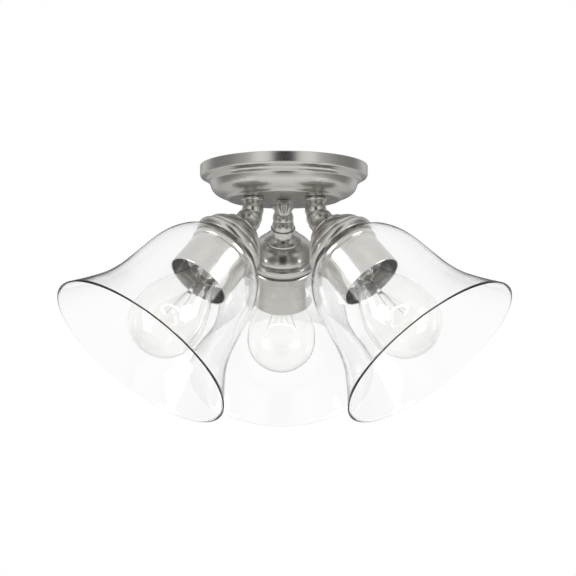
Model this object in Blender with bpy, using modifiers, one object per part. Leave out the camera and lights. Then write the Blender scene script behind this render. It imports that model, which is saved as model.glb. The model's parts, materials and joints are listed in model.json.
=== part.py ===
"""Three-light semi-flush ceiling light: a stepped round canopy, three cast elbows, and on each elbow a
domed holder, a clear glass bell, a screwed retaining cup and a screw-in lamp. Metres, +Z up, with the
origin at the middle of the ceiling plane. Each light is drawn along its own axis: its outlines are pairs of
(radius, distance from the elbow's bend)."""

import math

import bmesh
import bpy
from mathutils import Vector

MM = 0.001

# Clearances
GAP = 0.3 * MM  # left between two pieces that touch
THREAD_GAP = 0.4 * MM  # radial room in a threaded joint, whose threads are not cut
MERGE = 0.01 * MM

# Canopy: a spun steel dish with a rolled top edge and a flat mounting plate
CANOPY_RADIUS = 70.0 * MM
CANOPY_DEPTH = 29.0 * MM
CANOPY_WALL = 1.0 * MM
ROLLED_EDGE = 3.5 * MM
BAND_HEIGHT = 8.6 * MM
BOWL_RADIUS = 62.0 * MM  # at the top of the bowl, under the bead
PLATE_RADIUS = 45.2 * MM

# Arms
ARM_COUNT = 3
ARM_CIRCLE = 30.0 * MM
ARM_RADIUS = 9.0 * MM
BALL_RADIUS = 8.9 * MM
BALL_ABOVE_BEND = 4.0 * MM
SPIGOT_RADIUS = 4.9 * MM
SPIGOT_LENGTH = 8.5 * MM
WIRE_BORE = 3.0 * MM
BEND_DEPTH = 43.5 * MM  # from the ceiling to the bend
TILT = math.radians(41.0)  # of each light, from straight down
ARM_NUT_FLATS = 14.0 * MM
ARM_NUT_HEIGHT = 4.0 * MM
BARREL_RADIUS = 9.4 * MM
BARREL_END = 10.0 * MM  # along the light's axis
STUB_LENGTH = 17.0 * MM

# Holder: collar, ring, dome, flange and threaded neck
COLLAR_START = 4.6 * MM
COLLAR_RADIUS = 10.5 * MM
RING_START = 15.2 * MM
RING_RADIUS = 16.0 * MM
DOME_START = 17.5 * MM
DOME_HEIGHT = 12.7 * MM
NECK_RADIUS = 24.4 * MM
NECK_HEIGHT = 13.2 * MM
DOME_OVER_NECK = 2.1 * MM
FLANGE_OVER_NECK = 6.0 * MM
FLANGE_HEIGHT = 8.6 * MM
HOLDER_WALL = 1.3 * MM
DOME_ROOF = 2.0 * MM  # thickness over the socket

# Lampholder
SOCKET_ROOM = 4.1 * MM  # round the socket, inside the holder's neck
SOCKET_LENGTH = 46.5 * MM
SHELL_RADIUS = 13.9 * MM
SHELL_WALL = 0.5 * MM
SHELL_ABOVE_FLOOR = 1.6 * MM
SHELL_BELOW_MOUTH = 1.5 * MM
LAMP_SEAT = 24.0 * MM  # from the socket's back to the lamp's contact

# Retaining cup
CUP_NECK_WALL = 1.4 * MM
CUP_WALL = 1.0 * MM
CUP_LENGTH = 35.7 * MM
CUP_FLANGE_WIDTH = 1.8 * MM
CUP_FLANGE_HEIGHT = 5.0 * MM
CUP_THREAD_LENGTH = 8.4 * MM

# Glass bell
GLASS_WALL = 2.6 * MM
BELL_WAIST = 54.0 * MM
BELL_MOUTH = 81.2 * MM
BELL_LENGTH = 117.4 * MM
SHOULDER_RADIUS = 44.8 * MM
SHOULDER_HEIGHT = 18.8 * MM

# Lamp: A19 shape, E26 cap
BULB_RADIUS = 30.0 * MM
LAMP_LENGTH = 108.0 * MM
BULB_WALL = 0.8 * MM
BULB_NECK = 12.2 * MM
CAP_RADIUS = 13.0 * MM
CAP_WALL = 0.4 * MM
CAP_LENGTH = 23.0 * MM
FILAMENT_RADIUS = 0.5 * MM
FILAMENT_SPAN = 13.0 * MM  # from the lamp's axis to each end
FILAMENT_RISE = 25.0 * MM  # beyond the stem's button

# Finial: a fluted cap nut on the threaded rod
FINIAL_LENGTH = 13.0 * MM
FINIAL_NECK = 5.9 * MM
FINIAL_BULGE = 8.0 * MM
FINIAL_LOBES = 10
FLUTE_DEPTH = 0.08  # of the radius
ROD_RADIUS = 3.0 * MM
ROD_IN_FINIAL = 8.8 * MM

# Ceiling hardware
BAR_LENGTH = 100.0 * MM
BAR_WIDTH = 20.0 * MM
BAR_THICKNESS = 2.0 * MM
BOX_SLOT_SPACING = 84.0 * MM
BOX_SLOT_RADIUS = 2.4 * MM  # half the slot's width
BOX_SLOT_HALF_LENGTH = 5.0 * MM
SCREW_HEAD_RADIUS = 4.0 * MM
SCREW_HEAD_HEIGHT = 2.4 * MM
GROUND_SCREW_X = -22.0 * MM
GROUND_SCREW_RADIUS = 1.8 * MM
ROD_NUT_FLATS = 11.0 * MM
ROD_NUT_HEIGHT = 4.0 * MM

# Wiring
LEAD_RADIUS = 1.0 * MM
LEAD_OFFSET = 1.3 * MM  # of each lead from the middle of the bore
WIRE_NUT_RADIUS = 6.2 * MM
WIRE_NUT_LENGTH = 19.0 * MM
WIRE_NUT_X = 20.0 * MM
WIRE_NUT_Y = 8.0 * MM
WIRE_NUT_DEPTH = 12.5 * MM

# Fineness of the turned shapes
CANOPY_SIDES = 36
FINE = 24
MEDIUM = 18
ELBOW_SIDES = 16
COARSE = 14
BORE_SIDES = 12
SMALL = 10

# Radii that follow from the holder's neck
DOME_RADIUS = NECK_RADIUS + DOME_OVER_NECK
FLANGE_RADIUS = NECK_RADIUS + FLANGE_OVER_NECK
SOCKET_RADIUS = NECK_RADIUS - HOLDER_WALL - SOCKET_ROOM
CUP_BORE = NECK_RADIUS + THREAD_GAP
CUP_RADIUS = CUP_BORE + CUP_NECK_WALL
CUP_FLANGE = CUP_RADIUS + CUP_FLANGE_WIDTH

# Stations along a light's axis, each worked out from the one before
HOLDER_FLOOR = BARREL_END + GAP
FLANGE_START = DOME_START + DOME_HEIGHT
FLANGE_END = FLANGE_START + FLANGE_HEIGHT
NECK_END = FLANGE_END + NECK_HEIGHT
SOCKET_START = DOME_START + DOME_ROOF + GAP
SOCKET_END = SOCKET_START + SOCKET_LENGTH
GLASS_START = FLANGE_END + GAP
CUP_START = GLASS_START + GLASS_WALL + GAP
CUP_END = CUP_START + CUP_LENGTH
LAMP_START = SOCKET_START + LAMP_SEAT
LAMP_END = LAMP_START + LAMP_LENGTH
CAP_START = LAMP_START + 3.8 * MM
CAP_END = CAP_START + CAP_LENGTH
SOCKET_FLOOR = LAMP_START - 3.6 * MM

for old in list(bpy.data.objects):
    bpy.data.objects.remove(old, do_unlink=True)

parts = bpy.data.collections.new("semi_flush_ceiling_light")
cutters = bpy.data.collections.new("cutters")
bpy.context.scene.collection.children.link(parts)
bpy.context.scene.collection.children.link(cutters)


def material(name, color, roughness, metallic=0.0, transmission=0.0):
    made = bpy.data.materials.new(name)
    made.use_nodes = True
    shader = made.node_tree.nodes["Principled BSDF"]
    shader.inputs["Base Color"].default_value = (*color, 1.0)
    shader.inputs["Roughness"].default_value = roughness
    shader.inputs["Metallic"].default_value = metallic
    shader.inputs["Transmission Weight"].default_value = transmission
    made.diffuse_color = (*color, 1.0)
    return made


NICKEL = material("brushed_nickel", (0.62, 0.60, 0.57), 0.32, 1.0)
CLEAR_GLASS = material("clear_glass", (0.95, 0.97, 0.97), 0.02, 0.0, 1.0)
PORCELAIN = material("porcelain", (0.86, 0.84, 0.80), 0.35)
BRASS = material("brass", (0.78, 0.62, 0.34), 0.30, 1.0)
LAMP_CAP = material("lamp_cap_aluminium", (0.75, 0.75, 0.76), 0.30, 1.0)
VITRITE = material("black_vitrite", (0.03, 0.03, 0.035), 0.15)
SOLDER = material("solder", (0.60, 0.60, 0.62), 0.45, 1.0)
FILAMENT = material("tungsten", (0.95, 0.75, 0.40), 0.40, 1.0)
ZINC = material("zinc_steel", (0.66, 0.67, 0.69), 0.38, 1.0)
GREEN_STEEL = material("green_steel", (0.10, 0.36, 0.14), 0.40, 0.6)
BLACK_LEAD = material("black_insulation", (0.03, 0.03, 0.03), 0.45)
WHITE_LEAD = material("white_insulation", (0.84, 0.84, 0.82), 0.45)
WIRE_NUT = material("orange_plastic", (0.85, 0.35, 0.08), 0.45)


def add(name, data, finish=None, parent=None, cutter=False):
    thing = bpy.data.objects.new(name, data)
    (cutters if cutter else parts).objects.link(thing)
    thing.parent = parent
    if cutter:
        thing.hide_render = True
        thing.display_type = "WIRE"
    if finish:
        data.materials.append(finish)
    return thing


def smooth(mesh):
    mesh.shade_smooth()
    mesh.set_sharp_from_angle(angle=math.radians(35))


def turned(name, outline, finish, parent=None, segments=MEDIUM, closed=True, cutter=False):
    """A turned piece. The outline is pairs of (radius, distance down the axis), down its outer side.
    A closed outline is a ring section. An open one ends on the axis, or is a skin for Solidify."""
    mesh = bpy.data.meshes.new(name)
    points = [(radius, 0.0, -drop) for radius, drop in outline]
    edges = [(i, i + 1) for i in range(len(points) - 1)]
    if closed:
        edges.append((len(points) - 1, 0))
    mesh.from_pydata(points, edges, [])
    thing = add(name, mesh, finish, parent, cutter)
    screw = thing.modifiers.new("turn", "SCREW")
    screw.steps = segments
    screw.render_steps = segments
    screw.use_smooth_shade = True
    screw.use_merge_vertices = True
    screw.merge_threshold = MERGE
    return thing


def thicken(thing, wall):
    solidify = thing.modifiers.new("wall", "SOLIDIFY")
    solidify.thickness = wall
    solidify.offset = -1.0
    solidify.use_even_offset = True


def combine(thing, other, operation):
    boolean = thing.modifiers.new(operation.lower(), "BOOLEAN")
    boolean.operation = operation
    boolean.solver = "EXACT"
    boolean.object = other


def rod(name, radius, top, bottom, parent=None, segments=COARSE):
    """A cylinder cutter between two distances down the parent's axis."""
    mesh = bpy.data.meshes.new(name)
    work = bmesh.new()
    bmesh.ops.create_cone(
        work, cap_ends=True, segments=segments, radius1=radius, radius2=radius, depth=bottom - top
    )
    bmesh.ops.translate(work, verts=work.verts, vec=(0.0, 0.0, -(top + bottom) / 2))
    work.to_mesh(mesh)
    work.free()
    return add(name, mesh, None, parent, cutter=True)


def hex_nut(name, flats, top, bottom, bore, finish, parent=None):
    mesh = bpy.data.meshes.new(name)
    work = bmesh.new()
    corner = flats / 2 / math.cos(math.radians(30))
    bmesh.ops.create_cone(
        work, cap_ends=True, segments=6, radius1=corner, radius2=corner, depth=bottom - top
    )
    bmesh.ops.translate(work, verts=work.verts, vec=(0.0, 0.0, -(top + bottom) / 2))
    work.to_mesh(mesh)
    work.free()
    nut = add(name, mesh, finish, parent)
    hole = rod(name + "_bore", bore, top - MM, bottom + MM, parent)
    combine(nut, hole, "DIFFERENCE")
    return nut


def wire(name, points, radius, finish, parent=None, resolution=1):
    """A round wire along a smooth curve through the given points."""
    curve = bpy.data.curves.new(name, "CURVE")
    curve.dimensions = "3D"
    curve.bevel_depth = radius
    curve.bevel_resolution = resolution
    curve.use_fill_caps = True
    route = smooth_route([Vector(point) for point in points])
    spline = curve.splines.new("POLY")
    spline.points.add(len(route) - 1)
    for spot, place in zip(spline.points, route):
        spot.co = (*place, 1.0)
    return add(name, curve, finish, parent)


def smooth_route(points, steps=2):
    """Catmull-Rom points through a route, with a straight start and end."""
    ends = [points[0] * 2 - points[1], *points, points[-1] * 2 - points[-2]]
    route = []
    for a, b, c, d in zip(ends, ends[1:], ends[2:], ends[3:]):
        for step in range(steps):
            t = step / steps
            route.append(
                b
                + (c - a) * (t / 2)
                + (a * 2 - b * 5 + c * 4 - d) * (t * t / 2)
                + (b * 3 - a - c * 3 + d) * (t * t * t / 2)
            )
    route.append(points[-1])
    return route


# ---------------------------------------------------------------- ceiling hardware


def slot_outline(middle, half_straight, radius, arc_steps=6):
    """A slot along X with round ends, or a circle where it has no straight."""
    outline = []
    for side in (1, -1):
        steps = arc_steps + 1 if half_straight else arc_steps
        for step in range(steps):
            angle = -side * math.pi / 2 + math.pi * step / arc_steps
            x = middle + side * half_straight + radius * math.cos(angle)
            outline.append((x, radius * math.sin(angle)))
    return outline


def crossbar():
    """A pressed steel strip with a tapped hole in the middle, two slots for the outlet box's screws and a
    hole for the ground screw. Its top lies on the ceiling plane."""
    curve = bpy.data.curves.new("crossbar", "CURVE")
    curve.dimensions = "2D"
    curve.fill_mode = "BOTH"
    curve.extrude = BAR_THICKNESS / 2
    slot_straight = BOX_SLOT_HALF_LENGTH - BOX_SLOT_RADIUS
    outlines = [
        slot_outline(0.0, (BAR_LENGTH - BAR_WIDTH) / 2, BAR_WIDTH / 2),
        slot_outline(0.0, 0.0, ROD_RADIUS + THREAD_GAP),
        slot_outline(GROUND_SCREW_X, 0.0, GROUND_SCREW_RADIUS + THREAD_GAP),
        slot_outline(-BOX_SLOT_SPACING / 2, slot_straight, BOX_SLOT_RADIUS),
        slot_outline(BOX_SLOT_SPACING / 2, slot_straight, BOX_SLOT_RADIUS),
    ]
    for outline in outlines:
        spline = curve.splines.new("POLY")
        spline.points.add(len(outline) - 1)
        spline.use_cyclic_u = True
        for spot, (x, y) in zip(spline.points, outline):
            spot.co = (x, y, 0.0, 1.0)
    bar = add("crossbar", curve, ZINC)
    bar.location.z = -BAR_THICKNESS / 2


def ground_screw():
    """Its head hangs under the crossbar, and its shank ends flush with the crossbar's top."""
    head_top = BAR_THICKNESS + GAP
    head_bottom = head_top + SCREW_HEAD_HEIGHT
    screw = turned(
        "ground_screw",
        [
            (0.0, GAP),
            (GROUND_SCREW_RADIUS, GAP),
            (GROUND_SCREW_RADIUS, head_top),
            (SCREW_HEAD_RADIUS, head_top),
            (SCREW_HEAD_RADIUS, head_bottom - 1.0 * MM),
            (SCREW_HEAD_RADIUS * 0.7, head_bottom),
            (0.0, head_bottom),
        ],
        GREEN_STEEL,
        segments=COARSE,
        closed=False,
    )
    screw.location.x = GROUND_SCREW_X


def threaded_rod():
    """Flush with the crossbar's top, locked under it by a nut, and screwed into the finial below."""
    rod_end = CANOPY_DEPTH + ROD_IN_FINIAL
    turned(
        "threaded_rod",
        [
            (0.0, GAP),
            (ROD_RADIUS, GAP),
            (ROD_RADIUS, rod_end - 0.6 * MM),
            (ROD_RADIUS * 0.8, rod_end),
            (0.0, rod_end),
        ],
        ZINC,
        segments=COARSE,
        closed=False,
    )
    nut_top = BAR_THICKNESS + GAP
    hex_nut(
        "rod_locknut", ROD_NUT_FLATS, nut_top, nut_top + ROD_NUT_HEIGHT, ROD_RADIUS + THREAD_GAP, ZINC
    )


# ---------------------------------------------------------------- canopy and finial


def canopy_outline():
    """The outside of the canopy, from its rolled top edge to the hole in its mounting plate."""
    step_in = CANOPY_RADIUS - BOWL_RADIUS
    bowl_top = BAND_HEIGHT + 0.72 * step_in
    bowl_end = CANOPY_DEPTH - 1.8 * MM
    bowl_foot = PLATE_RADIUS + 3.4 * MM
    spread = BOWL_RADIUS - bowl_foot
    fall = bowl_end - bowl_top
    outline = [
        (CANOPY_RADIUS - ROLLED_EDGE, 0.0),
        (CANOPY_RADIUS, 0.0),
        (CANOPY_RADIUS, BAND_HEIGHT),
        (CANOPY_RADIUS - 0.09 * step_in, BAND_HEIGHT + 0.18 * step_in),
        (CANOPY_RADIUS - 0.55 * step_in, BAND_HEIGHT + 0.33 * step_in),
        (CANOPY_RADIUS - 0.73 * step_in, BAND_HEIGHT + 0.55 * step_in),
        (BOWL_RADIUS, bowl_top),
    ]
    for across, down in ((0.06, 0.18), (0.30, 0.59), (0.60, 0.83), (1.0, 1.0)):
        outline.append((BOWL_RADIUS - across * spread, bowl_top + down * fall))
    outline += [
        (PLATE_RADIUS + 1.5 * MM, CANOPY_DEPTH - 0.3 * MM),
        (PLATE_RADIUS, CANOPY_DEPTH),
        (ROD_RADIUS + THREAD_GAP, CANOPY_DEPTH),
    ]
    return outline


def canopy():
    dish = turned("canopy", canopy_outline(), NICKEL, segments=CANOPY_SIDES, closed=False)
    thicken(dish, CANOPY_WALL)
    for name, frame, _ in arms:
        top = CANOPY_DEPTH - CANOPY_WALL - 2.0 * MM
        hole = rod("canopy_hole_" + name, SPIGOT_RADIUS + GAP, top, CANOPY_DEPTH + 2.0 * MM, frame)
        combine(dish, hole, "DIFFERENCE")


def finial():
    """Turned outside with rounded flutes, and a blind threaded bore from the top."""
    top = CANOPY_DEPTH + GAP
    bore_radius = ROD_RADIUS + THREAD_GAP
    bore_end = CANOPY_DEPTH + ROD_IN_FINIAL + 0.7 * MM
    inside = [(bore_radius, bore_end), (bore_radius, top)]
    outside = [
        (0.94 * FINIAL_NECK, top),
        (FINIAL_NECK, top + 0.05 * FINIAL_LENGTH),
        (0.89 * FINIAL_BULGE, top + 0.16 * FINIAL_LENGTH),
        (FINIAL_BULGE, top + 0.34 * FINIAL_LENGTH),
        (0.94 * FINIAL_BULGE, top + 0.54 * FINIAL_LENGTH),
        (0.76 * FINIAL_BULGE, top + 0.73 * FINIAL_LENGTH),
        (0.52 * FINIAL_BULGE, top + 0.89 * FINIAL_LENGTH),
        (0.30 * FINIAL_BULGE, top + 0.98 * FINIAL_LENGTH),
    ]
    segments = FINIAL_LOBES * 4
    work = bmesh.new()
    rings = []
    for radius, drop in inside + outside:
        depth = 0.0 if (radius, drop) in inside else FLUTE_DEPTH
        ring = []
        for step in range(segments):
            angle = 2 * math.pi * step / segments
            reach = radius * (1 - depth * (1 + math.cos(FINIAL_LOBES * angle)) / 2)
            ring.append(work.verts.new((reach * math.sin(angle), -reach * math.cos(angle), -drop)))
        rings.append(ring)
    for upper, lower in zip(rings, rings[1:]):
        for step in range(segments):
            after = (step + 1) % segments
            work.faces.new((upper[step], lower[step], lower[after], upper[after]))
    tip = work.verts.new((0.0, 0.0, -(top + FINIAL_LENGTH)))
    roof = work.verts.new((0.0, 0.0, -bore_end))
    for step in range(segments):
        after = (step + 1) % segments
        work.faces.new((rings[-1][step], tip, rings[-1][after]))
        work.faces.new((rings[0][after], roof, rings[0][step]))
    bmesh.ops.recalc_face_normals(work, faces=work.faces)
    mesh = bpy.data.meshes.new("finial")
    work.to_mesh(mesh)
    work.free()
    add("finial", mesh, NICKEL)
    smooth(mesh)


# ---------------------------------------------------------------- one light


def elbow(name, frame, axis):
    """A casting: a collar and ball that hang from the canopy, a barrel on the light's axis that grows out
    of the ball, a threaded end at both ends, and a wire bore that follows the bend."""
    seat = CANOPY_DEPTH + GAP
    ball = BEND_DEPTH - BALL_ABOVE_BEND
    upright = [
        (0.0, seat - SPIGOT_LENGTH),
        (SPIGOT_RADIUS, seat - SPIGOT_LENGTH),
        (SPIGOT_RADIUS, seat),
        (ARM_RADIUS, seat),
        (ARM_RADIUS, seat + 2.4 * MM),
        (0.83 * ARM_RADIUS, seat + 2.8 * MM),
        (0.88 * ARM_RADIUS, seat + 3.6 * MM),
    ]
    for turn in (-38, -18, 0, 22, 45, 68):
        angle = math.radians(turn)
        upright.append((BALL_RADIUS * math.cos(angle), ball + BALL_RADIUS * math.sin(angle)))
    upright.append((0.0, ball + BALL_RADIUS))
    body = turned("elbow_" + name, upright, NICKEL, frame, segments=ELBOW_SIDES, closed=False)

    barrel = turned(
        "barrel_" + name,
        [
            (0.0, -0.55 * BARREL_END),
            (0.47 * BARREL_RADIUS, -0.44 * BARREL_END),
            (0.82 * BARREL_RADIUS, -0.18 * BARREL_END),
            (BARREL_RADIUS, 0.20 * BARREL_END),
            (BARREL_RADIUS, 0.50 * BARREL_END),
            (0.84 * BARREL_RADIUS, 0.66 * BARREL_END),
            (0.74 * BARREL_RADIUS, BARREL_END),
            (SPIGOT_RADIUS, BARREL_END),
            (SPIGOT_RADIUS, BARREL_END + STUB_LENGTH),
            (0.0, BARREL_END + STUB_LENGTH),
        ],
        None,
        axis,
        segments=ELBOW_SIDES,
        closed=False,
        cutter=True,
    )
    combine(body, barrel, "UNION")
    past_bend = 0.9 * MM
    upper_bore = rod("upper_bore_" + name, WIRE_BORE, 0.0, BEND_DEPTH + past_bend, frame, BORE_SIDES)
    lower_bore = rod("lower_bore_" + name, WIRE_BORE, -past_bend, SOCKET_END, axis, BORE_SIDES)
    combine(body, upper_bore, "DIFFERENCE")
    combine(body, lower_bore, "DIFFERENCE")
    nut_bottom = CANOPY_DEPTH - CANOPY_WALL - GAP
    hex_nut(
        "arm_nut_" + name,
        ARM_NUT_FLATS,
        nut_bottom - ARM_NUT_HEIGHT,
        nut_bottom,
        SPIGOT_RADIUS + THREAD_GAP,
        ZINC,
        frame,
    )


def holder(name, axis):
    """A turned shell. Its collar takes the end of the elbow, its dome covers the lampholder, the glass
    sits under its flange, and the retaining cup screws onto its neck."""
    hole = SPIGOT_RADIUS + THREAD_GAP
    inside = NECK_RADIUS - HOLDER_WALL
    roof = DOME_START + DOME_ROOF
    recess = BARREL_RADIUS + GAP
    turned(
        "holder_" + name,
        [
            (hole, HOLDER_FLOOR),
            (recess, HOLDER_FLOOR),
            (recess, COLLAR_START),
            (COLLAR_RADIUS - 0.2 * MM, COLLAR_START),
            (COLLAR_RADIUS, COLLAR_START + 0.5 * MM),
            (COLLAR_RADIUS, 0.62 * RING_START),
            (1.17 * COLLAR_RADIUS, 0.80 * RING_START),
            (0.92 * RING_RADIUS, 0.96 * RING_START),
            (RING_RADIUS, RING_START + 0.2 * MM),
            (RING_RADIUS, RING_START + 1.5 * MM),
            (0.94 * RING_RADIUS, DOME_START - 0.1 * MM),
            (0.62 * DOME_RADIUS, DOME_START + 0.02 * DOME_HEIGHT),
            (0.76 * DOME_RADIUS, DOME_START + 0.17 * DOME_HEIGHT),
            (0.88 * DOME_RADIUS, DOME_START + 0.37 * DOME_HEIGHT),
            (0.97 * DOME_RADIUS, DOME_START + 0.65 * DOME_HEIGHT),
            (DOME_RADIUS, DOME_START + 0.90 * DOME_HEIGHT),
            (DOME_RADIUS - 0.3 * MM, FLANGE_START),
            (0.93 * FLANGE_RADIUS, FLANGE_START + 0.09 * FLANGE_HEIGHT),
            (0.985 * FLANGE_RADIUS, FLANGE_START + 0.28 * FLANGE_HEIGHT),
            (FLANGE_RADIUS, FLANGE_START + 0.52 * FLANGE_HEIGHT),
            (0.99 * FLANGE_RADIUS, FLANGE_START + 0.82 * FLANGE_HEIGHT),
            (0.95 * FLANGE_RADIUS, FLANGE_END),
            (NECK_RADIUS, FLANGE_END),
            (NECK_RADIUS, NECK_END),
            (inside, NECK_END),
            (inside, DOME_START + 0.55 * DOME_HEIGHT),
            (0.86 * inside, DOME_START + 0.33 * DOME_HEIGHT),
            (0.70 * inside, roof),
            (hole, roof),
        ],
        NICKEL,
        axis,
    )


def lampholder(name, axis):
    """A porcelain body with a screw shell and a centre contact. The elbow's lower end screws into its
    back."""
    hole = SPIGOT_RADIUS + THREAD_GAP
    well = SHELL_RADIUS + GAP
    back_thread_end = BARREL_END + STUB_LENGTH + 2.0 * MM
    turned(
        "socket_body_" + name,
        [
            (hole, SOCKET_START),
            (0.70 * SOCKET_RADIUS, SOCKET_START),
            (SOCKET_RADIUS, SOCKET_START + 5.5 * MM),
            (SOCKET_RADIUS, SOCKET_END),
            (well, SOCKET_END),
            (well, SOCKET_FLOOR),
            (WIRE_BORE, SOCKET_FLOOR),
            (WIRE_BORE, back_thread_end),
            (hole, back_thread_end),
        ],
        PORCELAIN,
        axis,
        segments=COARSE,
    )
    shell_start = SOCKET_FLOOR + SHELL_ABOVE_FLOOR
    shell_end = SOCKET_END - SHELL_BELOW_MOUTH
    turned(
        "socket_shell_" + name,
        [
            (SHELL_RADIUS, shell_start),
            (SHELL_RADIUS, shell_end),
            (SHELL_RADIUS - SHELL_WALL, shell_end),
            (SHELL_RADIUS - SHELL_WALL, shell_start),
        ],
        BRASS,
        axis,
        segments=COARSE,
    )
    turned(
        "centre_contact_" + name,
        [
            (0.0, SOCKET_FLOOR + GAP),
            (5.0 * MM, SOCKET_FLOOR + GAP),
            (5.0 * MM, SOCKET_FLOOR + 1.0 * MM),
            (2.6 * MM, LAMP_START - GAP),
            (0.0, LAMP_START - GAP),
        ],
        BRASS,
        axis,
        segments=SMALL,
        closed=False,
    )


def retaining_cup(name, axis):
    """A spun cup. It screws up the holder's neck until its flange clamps the glass."""
    flange_end = CUP_START + CUP_FLANGE_HEIGHT
    inside = CUP_RADIUS - CUP_WALL
    turned(
        "retaining_cup_" + name,
        [
            (CUP_BORE, CUP_START),
            (CUP_FLANGE - 0.5 * MM, CUP_START),
            (CUP_FLANGE, CUP_START + 0.6 * MM),
            (CUP_FLANGE, flange_end - 0.8 * MM),
            (CUP_FLANGE - 0.7 * MM, flange_end),
            (CUP_RADIUS, flange_end + 0.3 * MM),
            (CUP_RADIUS + 0.5 * MM, CUP_END),
            (inside + 0.5 * MM, CUP_END),
            (inside, CUP_START + CUP_THREAD_LENGTH + 0.5 * MM),
            (CUP_BORE, CUP_START + CUP_THREAD_LENGTH),
        ],
        NICKEL,
        axis,
    )


def glass_outline():
    """The outside of the bell, from the hole in its neck to its mouth: a flat seat, a round shoulder, a
    waist and a flare."""
    seat = CUP_FLANGE
    spread = SHOULDER_RADIUS - seat
    outline = [(NECK_RADIUS + 0.5 * MM, GLASS_START), (seat, GLASS_START)]
    for across, along in ((0.15, 0.075), (0.56, 0.40), (1.0, 1.0)):
        outline.append((seat + across * spread, GLASS_START + along * SHOULDER_HEIGHT))
    below = GLASS_START + SHOULDER_HEIGHT
    fall = BELL_LENGTH - SHOULDER_HEIGHT
    for across, along in ((0.53, 0.145), (1.0, 0.386)):
        radius = SHOULDER_RADIUS + across * (BELL_WAIST - SHOULDER_RADIUS)
        outline.append((radius, below + along * fall))
    for out, along in ((0.11, 0.538), (0.31, 0.690), (0.65, 0.854), (1.0, 1.0)):
        outline.append((BELL_WAIST + out * (BELL_MOUTH - BELL_WAIST), below + along * fall))
    return outline


def glass_bell(name, axis):
    bell = turned("glass_bell_" + name, glass_outline(), CLEAR_GLASS, axis, segments=FINE, closed=False)
    thicken(bell, GLASS_WALL)


def bulb_glass(name, axis):
    middle = LAMP_END - BULB_RADIUS
    cone = middle - CAP_END
    grow = BULB_RADIUS - BULB_NECK
    outline = [(BULB_NECK, CAP_END - 6.0 * MM), (BULB_NECK, CAP_END + 0.2 * MM)]
    for share, along in ((0.08, 0.03), (0.24, 0.18), (0.63, 0.46), (0.93, 0.74)):
        outline.append((BULB_NECK + share * grow, CAP_END + along * cone))
    for turn in (-4, 20, 42, 66):
        angle = math.radians(turn)
        outline.append((BULB_RADIUS * math.cos(angle), middle + BULB_RADIUS * math.sin(angle)))
    outline.append((0.0, LAMP_END))
    bulb = turned("bulb_glass_" + name, outline, CLEAR_GLASS, axis, segments=COARSE, closed=False)
    thicken(bulb, BULB_WALL)


def bulb_base(name, axis):
    """The screw cap, the black insulator in its end, and the contact under it."""
    cap_hole = 0.72 * CAP_RADIUS
    turned(
        "bulb_cap_" + name,
        [
            (cap_hole, CAP_START),
            (CAP_RADIUS, CAP_START + 2.0 * MM),
            (CAP_RADIUS, CAP_END - 2.0 * MM),
            (CAP_RADIUS, CAP_END),
            (CAP_RADIUS - CAP_WALL, CAP_END),
            (CAP_RADIUS - CAP_WALL, CAP_START + 2.4 * MM),
            (cap_hole, CAP_START + 0.7 * MM),
        ],
        LAMP_CAP,
        axis,
        segments=COARSE,
    )
    turned(
        "bulb_insulator_" + name,
        [
            (0.0, LAMP_START + 2.0 * MM),
            (4.4 * MM, LAMP_START + 2.0 * MM),
            (cap_hole - GAP, CAP_START - GAP),
            (cap_hole - GAP, CAP_START + 2.4 * MM),
            (0.0, CAP_START + 2.4 * MM),
        ],
        VITRITE,
        axis,
        segments=SMALL,
        closed=False,
    )
    turned(
        "bulb_contact_" + name,
        [
            (0.0, LAMP_START),
            (3.2 * MM, LAMP_START + 0.4 * MM),
            (4.2 * MM, LAMP_START + 1.7 * MM),
            (0.0, LAMP_START + 1.7 * MM),
        ],
        SOLDER,
        axis,
        segments=SMALL,
        closed=False,
    )


def bulb_mount(name, axis):
    """Inside the bulb: the flared stem with its button, and the filament in one piece with the two wires
    that carry it."""
    foot = CAP_END - 5.4 * MM
    press = CAP_END + 6.0 * MM
    button = CAP_END + 17.0 * MM
    turned(
        "bulb_stem_" + name,
        [
            (0.0, foot),
            (BULB_NECK - BULB_WALL - GAP, foot),
            (BULB_NECK - BULB_WALL - GAP, foot + 0.8 * MM),
            (3.4 * MM, foot + 4.5 * MM),
            (2.8 * MM, press),
            (1.1 * MM, press + 1.5 * MM),
            (1.1 * MM, button),
            (2.2 * MM, button + 1.4 * MM),
            (0.0, button + 3.4 * MM),
        ],
        CLEAR_GLASS,
        axis,
        segments=SMALL,
        closed=False,
    )
    side = 3.4 * MM + FILAMENT_RADIUS + 2 * GAP
    arc = button + FILAMENT_RISE
    half = [
        (side, 0.0, press - 5.0 * MM),
        (side, 0.0, press + 2.0 * MM),
        (0.60 * FILAMENT_SPAN, 0.0, 0.5 * (press + arc)),
        (FILAMENT_SPAN, 0.0, arc),
        (0.70 * FILAMENT_SPAN, 0.5 * FILAMENT_SPAN, arc + 1.5 * MM),
    ]
    route = half + [(0.0, 0.7 * FILAMENT_SPAN, arc + 1.5 * MM)] + [(-x, y, s) for x, y, s in reversed(half)]
    wire("bulb_filament_" + name, [(x, y, -s) for x, y, s in route], FILAMENT_RADIUS, FILAMENT, axis, 0)


# ---------------------------------------------------------------- wiring


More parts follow.
